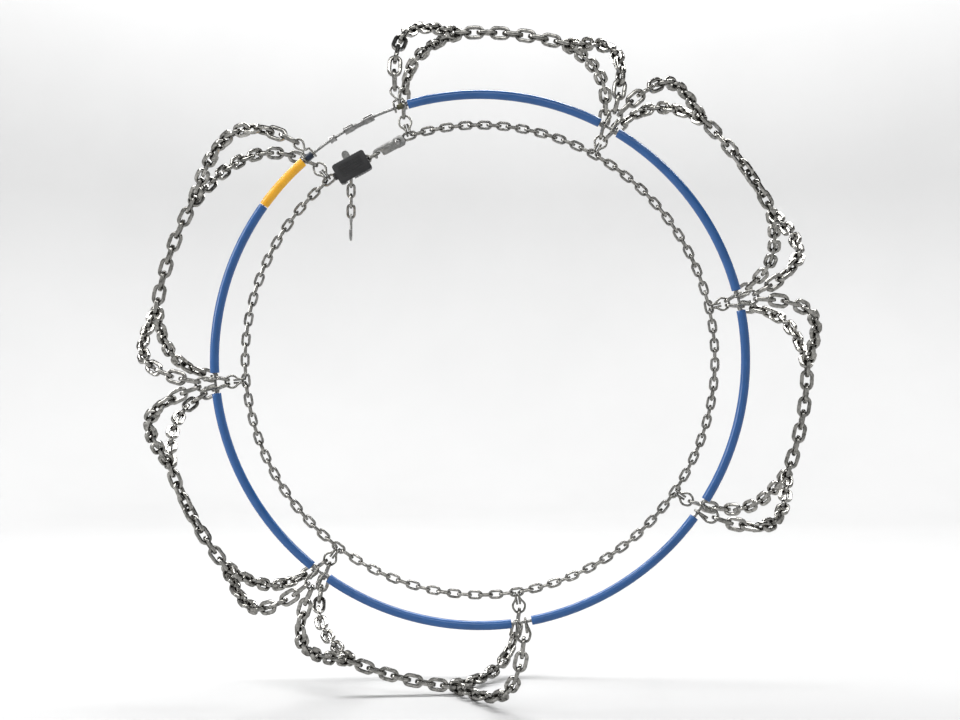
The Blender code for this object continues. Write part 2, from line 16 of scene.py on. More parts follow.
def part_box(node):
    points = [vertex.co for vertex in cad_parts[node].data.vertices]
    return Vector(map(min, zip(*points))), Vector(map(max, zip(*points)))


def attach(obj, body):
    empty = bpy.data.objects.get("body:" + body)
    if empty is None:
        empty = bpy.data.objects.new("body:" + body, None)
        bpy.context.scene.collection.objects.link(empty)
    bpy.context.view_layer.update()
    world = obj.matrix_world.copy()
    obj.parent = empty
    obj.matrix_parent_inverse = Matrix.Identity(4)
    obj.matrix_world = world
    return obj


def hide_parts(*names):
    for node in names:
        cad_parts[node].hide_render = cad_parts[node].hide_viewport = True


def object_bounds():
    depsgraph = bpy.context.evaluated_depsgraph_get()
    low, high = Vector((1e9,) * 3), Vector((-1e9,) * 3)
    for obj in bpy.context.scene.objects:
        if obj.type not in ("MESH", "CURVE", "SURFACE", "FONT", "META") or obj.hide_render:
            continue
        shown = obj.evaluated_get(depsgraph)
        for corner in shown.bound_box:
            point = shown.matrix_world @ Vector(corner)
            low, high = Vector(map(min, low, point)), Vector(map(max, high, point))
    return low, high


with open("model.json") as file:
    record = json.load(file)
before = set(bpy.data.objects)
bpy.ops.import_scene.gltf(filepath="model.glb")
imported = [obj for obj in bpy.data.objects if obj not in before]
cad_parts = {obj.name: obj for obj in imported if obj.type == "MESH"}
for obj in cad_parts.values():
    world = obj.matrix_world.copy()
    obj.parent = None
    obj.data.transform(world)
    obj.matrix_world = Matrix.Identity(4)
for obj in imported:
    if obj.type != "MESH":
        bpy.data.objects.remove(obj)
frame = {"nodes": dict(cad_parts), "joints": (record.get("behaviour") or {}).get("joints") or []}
cad_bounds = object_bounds()

MM = 0.001
NET = "chain_net"
INBOARD, OUTBOARD = -1, 1

# The tyre's shape and the net's layout, as in the frame
HOOP_RADIUS = 0.285
TRACK_RADIUS = 0.378
SIDE_Y = 0.128
SECTION_POWER = 3.5
CLIP_ANGLES = (107.5, 61.0, 13.0, -34.0, -81.0, -127.0, -175.0, -230.0)
CELLS = ((0, 1), (1, 2), (2, 3), (4, 5), (5, 6), (6, 7))
SPREAD = 13.5
LAST_SPREAD = 21.0
BEND_POWER = 1.25
SIDE_CHAIN_RADIUS = 0.290

# Links: outer length, outer width and wire
NET_LINK = (25.0 * MM, 16.0 * MM, 4.5 * MM)
LIGHT_LINK = (19.4 * MM, 11.5 * MM, 3.2 * MM)
LINK_SLACK = 0.04 * MM
SIDE_CLIP_RADIUS = SIDE_CHAIN_RADIUS + (LIGHT_LINK[1] - LIGHT_LINK[2]) / 2

# From the rope to the end of the first link in a clip's bow, and its offset where two links share one
END_BOW_REACH = 17.1 * MM
BOW_REACH = 15.2 * MM
SHARED_OFFSET_ANGLE = 0.46

# The outboard branches meet the track this much further into the cell than the inboard ones
OUTBOARD_SHIFT = 5.0 * MM

# The hoop: its cable, with six strands laid round a core, and its sleeves
CABLE_R = 1.6 * MM
CABLE_CORE_R = 0.8 * MM
STRAND_R = 0.56 * MM
STRAND_REACH = 1.05 * MM
LAY_LENGTH = 13.0 * MM
CABLE_END_ANGLE = 0.9
STRAND_OVERLAP_ANGLE = 0.6
SLEEVE_R = 5.0 * MM
SLEEVE_BORE_R = 2.1 * MM
BARE_HALF_ANGLE = 2.2
FIRST_BARE_ANGLE = 1.7
YELLOW_FROM, YELLOW_TO = -228.3, -215.6
YELLOW_GAP_ANGLE = 0.14
YELLOW_R = SLEEVE_R + 0.1 * MM
RING_DEPTH = 0.12 * MM
RING_PITCH = 3.2 * MM

# The hoop's lock: a slotted barrel, the cable's end nipples inside it, and a stop on the cable
LOCK_ANGLE = 117.15
LOCK_LENGTH = 35.0 * MM
LOCK_INSET = 0.3 * MM
NIPPLE_ANGLE = 0.95
STOP_ANGLE = 123.7
STOP_LENGTH = 7.5 * MM
STOP_R = 3.8 * MM

# The clips, of wire
CLIP_WIRE_R = 1.4 * MM
CLIP_LEG = 4.45 * MM
CURL_GAP = 0.35 * MM
END_CLIP_WIRE_R = 1.2 * MM
END_CLIP_LEG = 5.9 * MM
END_CLIP_CORE = 2.3 * MM
SIDE_CLIP_LEG = 2.0 * MM

# The side chain's gap, which the closing hook and the tensioner bridge in a straight line
GAP_ANGLE = (CLIP_ANGLES[0] + CLIP_ANGLES[-1] + 360) / 2
GAP_RADIUS = SIDE_CHAIN_RADIUS * math.cos(math.radians(GAP_ANGLE - CLIP_ANGLES[0]))
RIVET_R = 2.5 * MM
HOOK_BORE_R = 2.85 * MM

# The studio and the camera, which stands in front of the hoop
STUDIO_RADIUS = 3.1
FLOOR_CLEARANCE = 0.5 * MM
CAMERA_DISTANCE = 1.70
CAMERA_LENS = 59.4
SENSOR_WIDTH = 36.0
CENTRE = (0, 0, 0)

random = np.random.default_rng(7)


# ---------------------------------------------------------------- materials


def node(tree, kind, **inputs):
    """A new node with these inputs set."""
    made = tree.nodes.new(kind)
    for name, value in inputs.items():
        made.inputs[name.replace("_", " ")].default_value = value
    return made


def noise_of(tree, scale, detail=3.0, stretch=(1, 1, 1)):
    """Noise in the object's own coordinates, between 0 and 1."""
    where = tree.nodes.new("ShaderNodeTexCoord")
    mapping = tree.nodes.new("ShaderNodeMapping")
    mapping.inputs["Scale"].default_value = stretch
    tree.links.new(where.outputs["Object"], mapping.inputs["Vector"])
    noise = node(tree, "ShaderNodeTexNoise", Scale=scale, Detail=detail, Roughness=0.6)
    tree.links.new(mapping.outputs["Vector"], noise.inputs["Vector"])
    return noise.outputs["Fac"]


def ramp_of(tree, value, stops):
    """A colour from the value, by (position, colour) stops."""
    ramp = tree.nodes.new("ShaderNodeValToRGB")
    while len(ramp.color_ramp.elements) < len(stops):
        ramp.color_ramp.elements.new(0.5)
    for element, (at, colour) in zip(ramp.color_ramp.elements, stops):
        element.position = at
        element.color = (*colour, 1)
    tree.links.new(value, ramp.inputs["Fac"])
    return ramp.outputs["Color"]


def spread_of(tree, value, low, high):
    """The middle of a noise's range, spread over low to high."""
    spread = tree.nodes.new("ShaderNodeMapRange")
    for name, number in (("From Min", 0.3), ("From Max", 0.7), ("To Min", low), ("To Max", high)):
        spread.inputs[name].default_value = number
    tree.links.new(value, spread.inputs["Value"])
    return spread.outputs["Result"]


def add_bump(tree, shader, value, strength, distance):
    """Bumps the surface, on top of any bump that it has."""
    bump = node(tree, "ShaderNodeBump", Strength=strength, Distance=distance)
    tree.links.new(value, bump.inputs["Height"])
    before = shader.inputs["Normal"]
    if before.is_linked:
        tree.links.new(before.links[0].from_socket, bump.inputs["Normal"])
    tree.links.new(bump.outputs["Normal"], before)


def painted_corner_shade(tree, colour, distance, amount):
    """The colour with painted shade: darker where other metal is close by, where shadow would fall."""
    closeness = node(tree, "ShaderNodeAmbientOcclusion", Distance=distance)
    closeness.samples = 4
    shade = ramp_of(tree, closeness.outputs["AO"], [(0.1, (1 - amount,) * 3), (0.8, (1.0, 1.0, 1.0))])
    mix = tree.nodes.new("ShaderNodeMix")
    mix.data_type = "RGBA"
    mix.blend_type = "MULTIPLY"
    mix.inputs["Factor"].default_value = 1.0
    tree.links.new(colour, mix.inputs["A"])
    tree.links.new(shade, mix.inputs["B"])
    return mix.outputs["Result"]


def new_material(name):
    material = bpy.data.materials.new(name)
    material.use_nodes = True
    return material, material.node_tree, material.node_tree.nodes["Principled BSDF"]


def metal(name, dark, bright, rough, mottle=220.0, painted_shade=0.55, pits=0.12):
    """Plated steel: mottled plating, fine pits, painted shade where pieces touch, and dull grazing
    reflections.
    """
    material, tree, shader = new_material(name)
    shader.inputs["Metallic"].default_value = 1.0
    shader.inputs["Specular Tint"].default_value = (0.35, 0.35, 0.35, 1)
    broad = noise_of(tree, mottle, 4.0)
    fine = noise_of(tree, 1400.0, 5.0)
    colour = ramp_of(tree, broad, [(0.32, dark), (0.62, bright)])
    # Painted shade: the plating's colour is darkened where other metal is close by.
    tree.links.new(painted_corner_shade(tree, colour, 6 * MM, painted_shade), shader.inputs["Base Color"])
    tree.links.new(spread_of(tree, fine, *rough), shader.inputs["Roughness"])
    add_bump(tree, shader, fine, pits, 0.15 * MM)
    add_bump(tree, shader, broad, 0.12, 0.4 * MM)
    return material


def plastic(name, shaded, colour, rough, grain=1500.0, bump=0.03):
    """Moulded plastic: a little colour variation and fine scuffs."""
    material, tree, shader = new_material(name)
    broad = noise_of(tree, 38.0, 3.0)
    scuffs = noise_of(tree, grain, 6.0)
    tree.links.new(ramp_of(tree, broad, [(0.35, shaded), (0.65, colour)]), shader.inputs["Base Color"])
    tree.links.new(spread_of(tree, scuffs, *rough), shader.inputs["Roughness"])
    add_bump(tree, shader, scuffs, bump, 0.25 * MM)
    return material


chain_steel = metal("chain_steel", (0.13, 0.13, 0.12), (0.42, 0.41, 0.385), (0.13, 0.27), painted_shade=0.8)
clip_steel = metal("clip_steel", (0.11, 0.11, 0.10), (0.33, 0.325, 0.305), (0.16, 0.30), mottle=420.0)
plate_steel = metal("plate_steel", (0.20, 0.20, 0.195), (0.36, 0.36, 0.35), (0.24, 0.40), mottle=240.0)
bright_steel = metal(
    "bright_steel", (0.15, 0.15, 0.145), (0.35, 0.345, 0.34), (0.18, 0.30), mottle=160.0, painted_shade=0.7
)
cable_steel = metal(
    "cable_steel", (0.15, 0.15, 0.145), (0.36, 0.36, 0.35), (0.20, 0.36), mottle=600.0, painted_shade=0.8
)
dull_brass = metal("dull_brass", (0.05, 0.05, 0.035), (0.12, 0.115, 0.08), (0.34, 0.52), mottle=500.0)
blue_plastic = plastic("blue_plastic", (0.015, 0.075, 0.228), (0.019, 0.089, 0.266), (0.20, 0.25), bump=0.015)
yellow_plastic = plastic("yellow_plastic", (0.72, 0.34, 0.010), (0.84, 0.44, 0.022), (0.22, 0.29))
navy_plastic = plastic("navy_plastic", (0.002, 0.007, 0.020), (0.004, 0.012, 0.030), (0.26, 0.38))
black_plastic = plastic(
    "black_plastic", (0.008, 0.008, 0.009), (0.017, 0.017, 0.018), (0.42, 0.60), grain=900.0, bump=0.3
)


# ---------------------------------------------------------------- mesh helpers


def make_piece(name, verts, faces, material, body, slot, nodes=(), sharp=45):
    """A visible piece on a body, which hides the frame's nodes that it stands for. The slot is not used."""
    mesh = bpy.data.meshes.new(name)
    mesh.from_pydata(np.asarray(verts).tolist(), [], [list(face) for face in faces])
    mesh.validate()
    bm = bmesh.new()
    bm.from_mesh(mesh)
    bmesh.ops.recalc_face_normals(bm, faces=bm.faces)
    bm.to_mesh(mesh)
    bm.free()
    mesh.materials.append(material)
    mesh.shade_smooth()
    mesh.set_sharp_from_angle(angle=math.radians(sharp))
    piece = bpy.data.objects.new(name, mesh)
    bpy.context.scene.collection.objects.link(piece)
    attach(piece, body)
    if nodes:
        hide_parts(*nodes)
    return piece


def joined(parts):
    """One vertex list and one face list from several (verts, faces)."""
    verts, faces, base = [], [], 0
    for part_verts, part_faces in parts:
        verts.append(np.asarray(part_verts))
        faces += [[index + base for index in face] for face in part_faces]
        base += len(part_verts)
    return np.concatenate(verts), faces


def ring_faces(count, sides, closed):
    """Faces between rings of points, which follow one another."""
    faces = []
    for k in range(count if closed else count - 1):
        here, there = k * sides, (k + 1) % count * sides
        for j in range(sides):
            i = (j + 1) % sides
            faces.append([here + j, here + i, there + i, there + j])
    return faces


def unit(vectors):
    return vectors / np.linalg.norm(vectors, axis=-1, keepdims=True)


def directions(points, closed):
    if closed:
        return unit(np.roll(points, -1, axis=0) - np.roll(points, 1, axis=0))
    return unit(np.gradient(points, axis=0))


def carried(along):
    """A normal for each direction of a path, carried along it without twist."""
    normal = np.cross(along[0], [0.3, 0.9, 0.2])
    found = []
    for direction in along:
        normal = normal - normal @ direction * direction
        normal /= np.linalg.norm(normal)
        found.append(normal)
    return np.array(found)


def round_profile(sides, power=2.0):
    """A circle for power 2, and a square with round corners for a higher power."""
    turn = (np.arange(sides) + 0.5) * 2 * np.pi / sides
    cos, sin = np.cos(turn), np.sin(turn)
    reach = (np.abs(cos) ** power + np.abs(sin) ** power) ** (-1 / power)
    return np.stack([reach * cos, reach * sin], axis=1)


def sweep(points, radii, profile, normals=None, closed=False):
    """(verts, faces) of the profile carried along the points, with its size at each."""
    points = np.asarray(points, float)
    along = directions(points, closed)
    normals = carried(along) if normals is None else np.asarray(normals, float)
    across = unit(np.cross(along, normals))
    out = np.cross(across, along)
    radii = np.broadcast_to(radii, len(points))
    verts = points[:, None] + radii[:, None, None] * (
        profile[None, :, :1] * across[:, None] + profile[None, :, 1:] * out[:, None]
    )
    count, sides = len(points), len(profile)
    faces = ring_faces(count, sides, closed)
    if not closed:
        faces += [list(range(sides))[::-1], [(count - 1) * sides + j for j in range(sides)]]
    return verts.reshape(-1, 3), faces


def smooth_path(points, steps=6):
    """A Catmull-Rom curve through the points."""
    points = np.asarray(points, float)
    padded = np.concatenate([[2 * points[0] - points[1]], points, [2 * points[-1] - points[-2]]])
    found = []
    for a, b, c, d in zip(padded, padded[1:], padded[2:], padded[3:]):
        square, cube = 2 * a - 5 * b + 4 * c - d, 3 * b - a - 3 * c + d
        found += [0.5 * (2 * b + (c - a) * t + square * t**2 + cube * t**3) for t in np.arange(steps) / steps]
    return np.array(found + [points[-1]])


def wire(points, radius, sides=12, steps=6):
    """A round wire through the points, with rounded ends."""
    end_reach, end_size = 0.35, 0.55
    path = smooth_path(points, steps)
    radii = np.full(len(path), radius)
    start = path[0] - unit(path[1] - path[0]) * radius * end_reach
    end = path[-1] - unit(path[-2] - path[-1]) * radius * end_reach
    path = np.concatenate([[start], path, [end]])
    radii = np.concatenate([[radius * end_size], radii, [radius * end_size]])
    return sweep(path, radii, round_profile(sides))


def arc(centre_x, centre_z, radius, start, end, steps):
    """(x, z) points on an arc, with its angles in degrees."""
    turn = np.radians(np.linspace(start, end, steps + 1))
    return np.stack([centre_x + radius * np.cos(turn), centre_z + radius * np.sin(turn)], axis=1)


def moved(part, matrix):
    """The (verts, faces) placed by the matrix."""
    verts, faces = part
    matrix = np.array(matrix)
    return verts @ matrix[:3, :3].T + matrix[:3, 3], faces


def turned_frame(angle, radius, y):
    """Local X runs clockwise, Y is the world's, and Z is radial."""
    turn = Matrix.Rotation(math.radians(90 - angle), 4, "Y")
    return Matrix.Translation(Vector(on_side(angle, radius, y))) @ turn


# ---------------------------------------------------------------- the tyre's shape


def tyre_section():
    """Distances along half the tyre's section from the hoop, with the radius and Y at each."""
    turn = np.linspace(0, math.pi / 2, 2001)
    y = SIDE_Y * np.cos(turn) ** (2 / SECTION_POWER)
    radius = HOOP_RADIUS + (TRACK_RADIUS - HOOP_RADIUS) * np.sin(turn) ** (2 / SECTION_POWER)
    step = np.hypot(np.diff(y), np.diff(radius))
    return np.concatenate([[0], np.cumsum(step)]), radius, y


SECTION_S, SECTION_RADIUS, SECTION_Y = tyre_section()
SECTION_LENGTH = float(SECTION_S[-1])


def radial(angle):
    turn = math.radians(angle)
    return np.array([math.cos(turn), 0.0, math.sin(turn)])


def on_side(angle, radius, y):
    return radius * radial(angle) + np.array([0, y, 0])


def on_tyre(angle, distance, side):
    """The chain's middle line this far from the hoop, and the outward normal. It may pass the middle."""
    over = distance > SECTION_LENGTH
    near = 2 * SECTION_LENGTH - distance if over else distance
    near = np.clip(near + np.array([-1, 0, 1]) * MM, 0, SECTION_LENGTH)
    radius = np.interp(near, SECTION_S, SECTION_RADIUS)
    y = np.interp(near, SECTION_S, SECTION_Y)
    rise = unit(np.array([radius[2] - radius[0], y[2] - y[0]]))
    way = -side if over else side
    return on_side(angle, radius[1], way * y[1]), -rise[1] * radial(angle) + np.array([0, way * rise[0], 0])


def spread_at(clip):
    return LAST_SPREAD if clip == len(CLIP_ANGLES) - 1 else SPREAD


def is_end(clip):
    return clip in (0, len(CLIP_ANGLES) - 1)


def first_link_of(clip):
    """(distance from the rope to the first link's end, its offset in degrees) in the clip's bow."""
    shared = sum(clip in cell for cell in CELLS) == 2
    return END_BOW_REACH if is_end(clip) else BOW_REACH, SHARED_OFFSET_ANGLE if shared else 0.0


# ---------------------------------------------------------------- links


def link_shape(length, width, thickness, bow_steps=9, side_steps=6, sides=12):
    """A link along X and wide along Y, of square wire with round corners and a weld in one side."""
    bow = (width - thickness) / 2
    half = (length - width) / 2
    ends = [arc(half, 0, bow, -90, 90, bow_steps), arc(-half, 0, bow, 90, 270, bow_steps)]
    top = np.stack([np.linspace(half, -half, side_steps + 1)[1:-1], np.full(side_steps - 1, bow)], axis=1)
    flat = np.concatenate([ends[0], top, ends[1], -top])
    path = np.column_stack([flat, np.zeros(len(flat))])
    radii = np.full(len(path), thickness / 2)
    weld, weld_swell, wire_share = len(ends[0]) + (side_steps - 1) // 2, 1.09, 0.97
    radii[weld] *= weld_swell
    upward = np.tile([0, 0, 1.0], (len(path), 1))
    return sweep(path, radii * wire_share, round_profile(sides, 3.0), upward, closed=True)


def set_links(link, places):
    """Copies of a link, each at (middle, along, outward, roll in degrees). Roll 0 lies flat."""
    verts, faces = link
    count = len(verts)
    all_verts, all_faces = [], []
    for k, (middle, along, outward, roll) in enumerate(places):
        across = unit(np.cross(outward, along))
        outward = np.cross(along, across)
        turn = math.radians(roll)
        y_axis = math.cos(turn) * across + math.sin(turn) * outward
        z_axis = -math.sin(turn) * across + math.cos(turn) * outward
        all_verts.append(middle + verts @ np.array([along, y_axis, z_axis]))
        all_faces += [[index + k * count for index in face] for face in faces]
    return np.concatenate(all_verts), all_faces


def links_along(points, normals, link_size, first_roll, last_roll, jitter=2.5):
    """Places for links from end to end of a route, a quarter turn apart, with what twist is left over."""
    step = np.linalg.norm(np.diff(points, axis=0), axis=1)
    gone = np.concatenate([[0], np.cumsum(step)])
    length, _, thickness = link_size
    room = gone[-1] - length
    count = math.ceil(room / (length - 2 * thickness - LINK_SLACK)) + 1
    pitch = room / (count - 1)
    twist = (last_roll - first_roll - 90 * (count - 1)) % 180
    twist = twist - 180 if twist > 90 else twist
    places = []
    for k in range(count):
        middle = length / 2 + k * pitch
        ends = [
            np.array([np.interp(middle + side * pitch / 2, gone, points[:, axis]) for axis in range(3)])
            for side in (-1, 1)
        ]
        normal = unit(np.array([np.interp(middle, gone, normals[:, axis]) for axis in range(3)]))
        along = unit(ends[1] - ends[0])
        roll = first_roll + 90 * k + twist * k / (count - 1) + random.uniform(-jitter, jitter)
        places.append(((ends[0] + ends[1]) / 2, along, normal, roll))
    return places


def route_of(stations):
    points, normals = zip(*stations)
    return np.array(points), np.array(normals)


NET_LINK_SHAPE = link_shape(*NET_LINK)
LIGHT_LINK_SHAPE = link_shape(*LIGHT_LINK, bow_steps=7, side_steps=4, sides=10)


def branch_links(clip, turn, side, clip_offset, shift):
    """Links from a clip's bow to the end of the track. The first and the last stand up."""
    hold, first_offset = first_link_of(clip)
    start = clip_offset + hold
    inward = math.degrees(shift / TRACK_RADIUS)
    past_middle, station_count = 1.0 * MM, 80
    stations = []
    for distance in np.linspace(start, SECTION_LENGTH + past_middle, station_count):
        share = min(1.0, (distance - start) / (SECTION_LENGTH - start))
        offset = first_offset + (spread_at(clip) - first_offset) * share**BEND_POWER + inward * share**3
        stations.append(on_tyre(CLIP_ANGLES[clip] + turn * offset, distance, side))
    return links_along(*route_of(stations), NET_LINK, 90, 90)


def track_links(first, last):
    """Links along the middle of the tread. The first and the last lie flat and hold the branches."""
    bow_centre = (NET_LINK[0] - NET_LINK[1]) / 2
    reach = math.degrees((NET_LINK[0] / 2 - bow_centre) / TRACK_RADIUS)
    start = CLIP_ANGLES[first] - spread_at(first) + reach
    end = CLIP_ANGLES[last] + spread_at(last) - reach
    stations = [on_tyre(angle, SECTION_LENGTH, OUTBOARD) for angle in np.linspace(start, end, 40)]
    return links_along(*route_of(stations), NET_LINK, 0, 0, jitter=1.5)


def build_net():
    """Every link of the net, with one piece for each of the frame's branches and strands."""
    side_offset = SIDE_CLIP_RADIUS - HOOP_RADIUS
    for number, (first, last) in enumerate(CELLS, 1):
        for letter, clip, turn in (("a", first, -1), ("b", last, 1)):
            name = f"inner_branch_{number}{letter}"
            links = set_links(NET_LINK_SHAPE, branch_links(clip, turn, INBOARD, 0.0, 0.0))
            make_piece(f"{name}_links", *links, chain_steel, NET, "chain_steel", [name])
        places = branch_links(first, -1, OUTBOARD, side_offset, OUTBOARD_SHIFT)
        places += branch_links(last, 1, OUTBOARD, side_offset, OUTBOARD_SHIFT)
        places += track_links(first, last)
        name = f"tread_strand_{number}"
        links = set_links(NET_LINK_SHAPE, places)
        make_piece(f"{name}_links", *links, chain_steel, NET, "chain_steel", [name])


# ---------------------------------------------------------------- the hoop


def hoop_arc(start, end, spacing_mm):
    """Angles from start to end, and the points on the hoop's middle line at them."""
    steps = max(4, int(abs(start - end) * math.radians(1) * HOOP_RADIUS / (spacing_mm * MM)))
    angles = np.linspace(start, end, steps + 1)
    return angles, np.array([on_side(angle, HOOP_RADIUS, -SIDE_Y) for angle in angles])


def sleeve_shape(start, end, radius, ribs=0.0):
    """A bored sleeve with rounded ends between two angles. Ribs is the depth of shallow rings round it."""
    edge = 0.55 * MM
    fine_spacing_mm, plain_spacing_mm = 0.8, 4.0
    angles, _ = hoop_arc(start, end, fine_spacing_mm if ribs else plain_spacing_mm)
    length = abs(end - start) * math.radians(1) * HOOP_RADIUS
    marks = np.linspace(0, length, len(angles))[1:-1]
    marks = marks[(marks > 2 * edge) & (marks < length - 2 * edge)]
    ease = [(0.0, radius - edge), (0.15 * edge, radius - 0.45 * edge), (edge, radius)]
    outer = ease + [(mark, radius + ribs * math.cos(mark * 2 * math.pi / RING_PITCH)) for mark in marks]
    outer += [(length - mark, reach) for mark, reach in ease[::-1]]
    inner = [(mark, SLEEVE_BORE_R) for mark, _ in outer[::-1]]
    sides = 24
    turn = np.arange(sides) * 2 * np.pi / sides
    way = -1 if end < start else 1
    verts = []
    for mark, reach in outer + inner:
        angle = start + way * math.degrees(mark / HOOP_RADIUS)
        middle, out = on_side(angle, HOOP_RADIUS, -SIDE_Y), radial(angle)
        verts += [middle + reach * (math.cos(a) * out + math.sin(a) * np.array([0, 1.0, 0])) for a in turn]
    return np.array(verts), ring_faces(len(outer + inner), sides, True)


def build_sleeves():
    """A blue sleeve from each clip to the next, the last of them shorter, and the yellow one after it."""
    for k, (here, there) in enumerate(zip(CLIP_ANGLES, CLIP_ANGLES[1:])):
        start = here - (FIRST_BARE_ANGLE if k == 0 else BARE_HALF_ANGLE)
        end = YELLOW_TO + YELLOW_GAP_ANGLE if k == len(CLIP_ANGLES) - 2 else there + BARE_HALF_ANGLE
        name = f"blue_sleeve_{k + 1}"
        shape = sleeve_shape(start, end, SLEEVE_R)
        make_piece(f"{name}_skin", *shape, blue_plastic, NET, "blue_plastic", [name])
    shape = sleeve_shape(YELLOW_TO, YELLOW_FROM, YELLOW_R, RING_DEPTH)
    make_piece("yellow_sleeve_skin", *shape, yellow_plastic, NET, "yellow_plastic", ["yellow_sleeve"])


def strands(start, end):
    """Six strands laid round the hoop's core between two angles."""
    angles, points = hoop_arc(start, end, 0.8)
    gone = np.abs(angles - start) * math.radians(1) * HOOP_RADIUS
    radials = np.array([radial(angle) for angle in angles])
    found = []
    for k in range(6):
        turn = gone / LAY_LENGTH * 2 * np.pi + k * np.pi / 3
        offset = np.cos(turn)[:, None] * radials + np.sin(turn)[:, None] * np.array([0, 1.0, 0])
        found.append(sweep(points + STRAND_REACH * offset, STRAND_R, round_profile(8), radials))
    return found


def build_cable():
    """A core all the way round, with strands where the cable is bare and a little way into the sleeves."""
    ends = (LOCK_ANGLE - CABLE_END_ANGLE, LOCK_ANGLE - 360 + CABLE_END_ANGLE)
    angles, points = hoop_arc(ends[0], ends[1], 6.0)
    parts = [sweep(points, CABLE_CORE_R, round_profile(8), np.array([radial(a) for a in angles]))]
    parts += strands(ends[0], CLIP_ANGLES[0] - BARE_HALF_ANGLE)
    for angle in CLIP_ANGLES[1:-1]:
        start = angle + BARE_HALF_ANGLE + STRAND_OVERLAP_ANGLE
        end = angle - BARE_HALF_ANGLE - STRAND_OVERLAP_ANGLE
        parts += strands(start, end)
    parts += strands(CLIP_ANGLES[-1] + BARE_HALF_ANGLE, ends[1])
    make_piece("cable_strands", *joined(parts), cable_steel, NET, "cable_steel", ["inner_cable"])


def turned_shape(outline, sides, matrix):
    """(x, radius) points of a closed outline turned about X, placed by the matrix."""
    turn = np.arange(sides) * 2 * np.pi / sides
    verts = [[x, radius * math.cos(a), radius * math.sin(a)] for x, radius in outline for a in turn]
    return moved((np.array(verts), ring_faces(len(outline), sides, True)), matrix)


def turned(name, outline, sides, material, body, slot, nodes, matrix, sharp=35):
    """A turned piece."""
    make_piece(name, *turned_shape(outline, sides, matrix), material, body, slot, nodes, sharp)


def tube_outline(length, radius, bore, edge):
    """A bored tube with eased outer edges, for turning."""
    half, ease = length / 2, edge * 0.3
    return [
        (-half, bore), (-half, radius - edge), (-half + ease, radius - ease), (-half + edge, radius),
        (half - edge, radius), (half - ease, radius - ease), (half, radius - edge), (half, bore),
    ]


def cut(piece, cutters):
    """Cuts the shapes from the piece's mesh."""
    for verts, faces in cutters:
        mesh = bpy.data.meshes.new("cutter")
        mesh.from_pydata(np.asarray(verts).tolist(), [], faces)
        bm = bmesh.new()
        bm.from_mesh(mesh)
        bmesh.ops.recalc_face_normals(bm, faces=bm.faces)
        bm.to_mesh(mesh)
        bm.free()
        cutter = bpy.data.objects.new("cutter", mesh)
        bpy.context.scene.collection.objects.link(cutter)
        modifier = piece.modifiers.new("cut", "BOOLEAN")
        modifier.operation = "DIFFERENCE"
        modifier.object = cutter
        bpy.context.view_layer.update()
        evaluated = piece.evaluated_get(bpy.context.evaluated_depsgraph_get())
        result = bpy.data.meshes.new_from_object(evaluated)
        piece.modifiers.clear()
        piece.data = result
        bpy.data.objects.remove(cutter)


def cut_smooth(name, shape, cutters, material, body, slot, nodes, sharp=40):
    """A piece with the cutters' shapes taken out, shaded smooth between its edges."""
    piece = make_piece(name, *shape, material, body, slot, nodes, sharp)
    cut(piece, cutters)
    piece.data.shade_smooth()
    piece.data.set_sharp_from_angle(angle=math.radians(sharp))


def box_shape(low, high):
    corners = [[x, y, z] for x in (low[0], high[0]) for y in (low[1], high[1]) for z in (low[2], high[2])]
    faces = [[0, 1, 3, 2], [4, 6, 7, 5], [0, 4, 5, 1], [2, 3, 7, 6], [0, 2, 6, 4], [1, 5, 7, 3]]
    return np.array(corners), faces


def barrel_outline():
    """Half a section of the lock barrel: a collar at each end, and grooves round the waist between."""
    half, collar, full, waist = LOCK_LENGTH / 2, 11.0 * MM, 4.25 * MM, 3.75 * MM
    bore, ease, step, groove = 2.7 * MM, 0.4 * MM, 0.3 * MM, 0.35 * MM
    left = [(-half, bore), (-half, full - ease), (-half + ease, full)]
    left += [(-half + collar - ease, full), (-half + collar, full - step), (-half + collar, waist)]
    ridges = []
    for x in np.arange(-5.0, 5.1, 2.0) * MM:
        ridges += [(x - 0.6 * MM, waist), (x - step, waist - groove), (x + step, waist - groove)]
        ridges += [(x + 0.6 * MM, waist)]
    return left + ridges + [(-x, radius) for x, radius in left[::-1]]


def build_lock():
    """The slotted barrel that takes the cable's ends, and the stop crimped on the cable."""
    place = turned_frame(LOCK_ANGLE, HOOP_RADIUS - LOCK_INSET, -SIDE_Y)
    window = box_shape((-6.4 * MM, -8 * MM, 0.3 * MM), (6.4 * MM, 8 * MM, 8 * MM))
    cut_smooth(
        "lock_barrel_body", turned_shape(barrel_outline(), 32, place), [moved(window, place)],
        bright_steel, "lock_barrel", "bright_steel", ["lock_barrel"], 35,
    )

    place = turned_frame(STOP_ANGLE, HOOP_RADIUS, -SIDE_Y)
    outline = tube_outline(STOP_LENGTH, STOP_R, 1.7 * MM, 0.5 * MM)
    crimp, shoulder, crimp_r = 1.0 * MM, 1.6 * MM, 3.45 * MM
    outline[4:4] = [(-shoulder, STOP_R), (-crimp, crimp_r), (crimp, crimp_r), (shoulder, STOP_R)]
    turned("stop_ferrule_body", outline, 24, bright_steel, NET, "bright_steel", ["stop_ferrule"], place)
    for number, angle in enumerate((LOCK_ANGLE - NIPPLE_ANGLE, LOCK_ANGLE + NIPPLE_ANGLE), 1):
        place = turned_frame(angle, HOOP_RADIUS, -SIDE_Y)
        outline = tube_outline(5.0 * MM, 2.1 * MM, 0.4 * MM, 0.5 * MM)
        turned(f"cable_nipple_{number}", outline, 20, plate_steel, NET, "cable_steel", [], place)


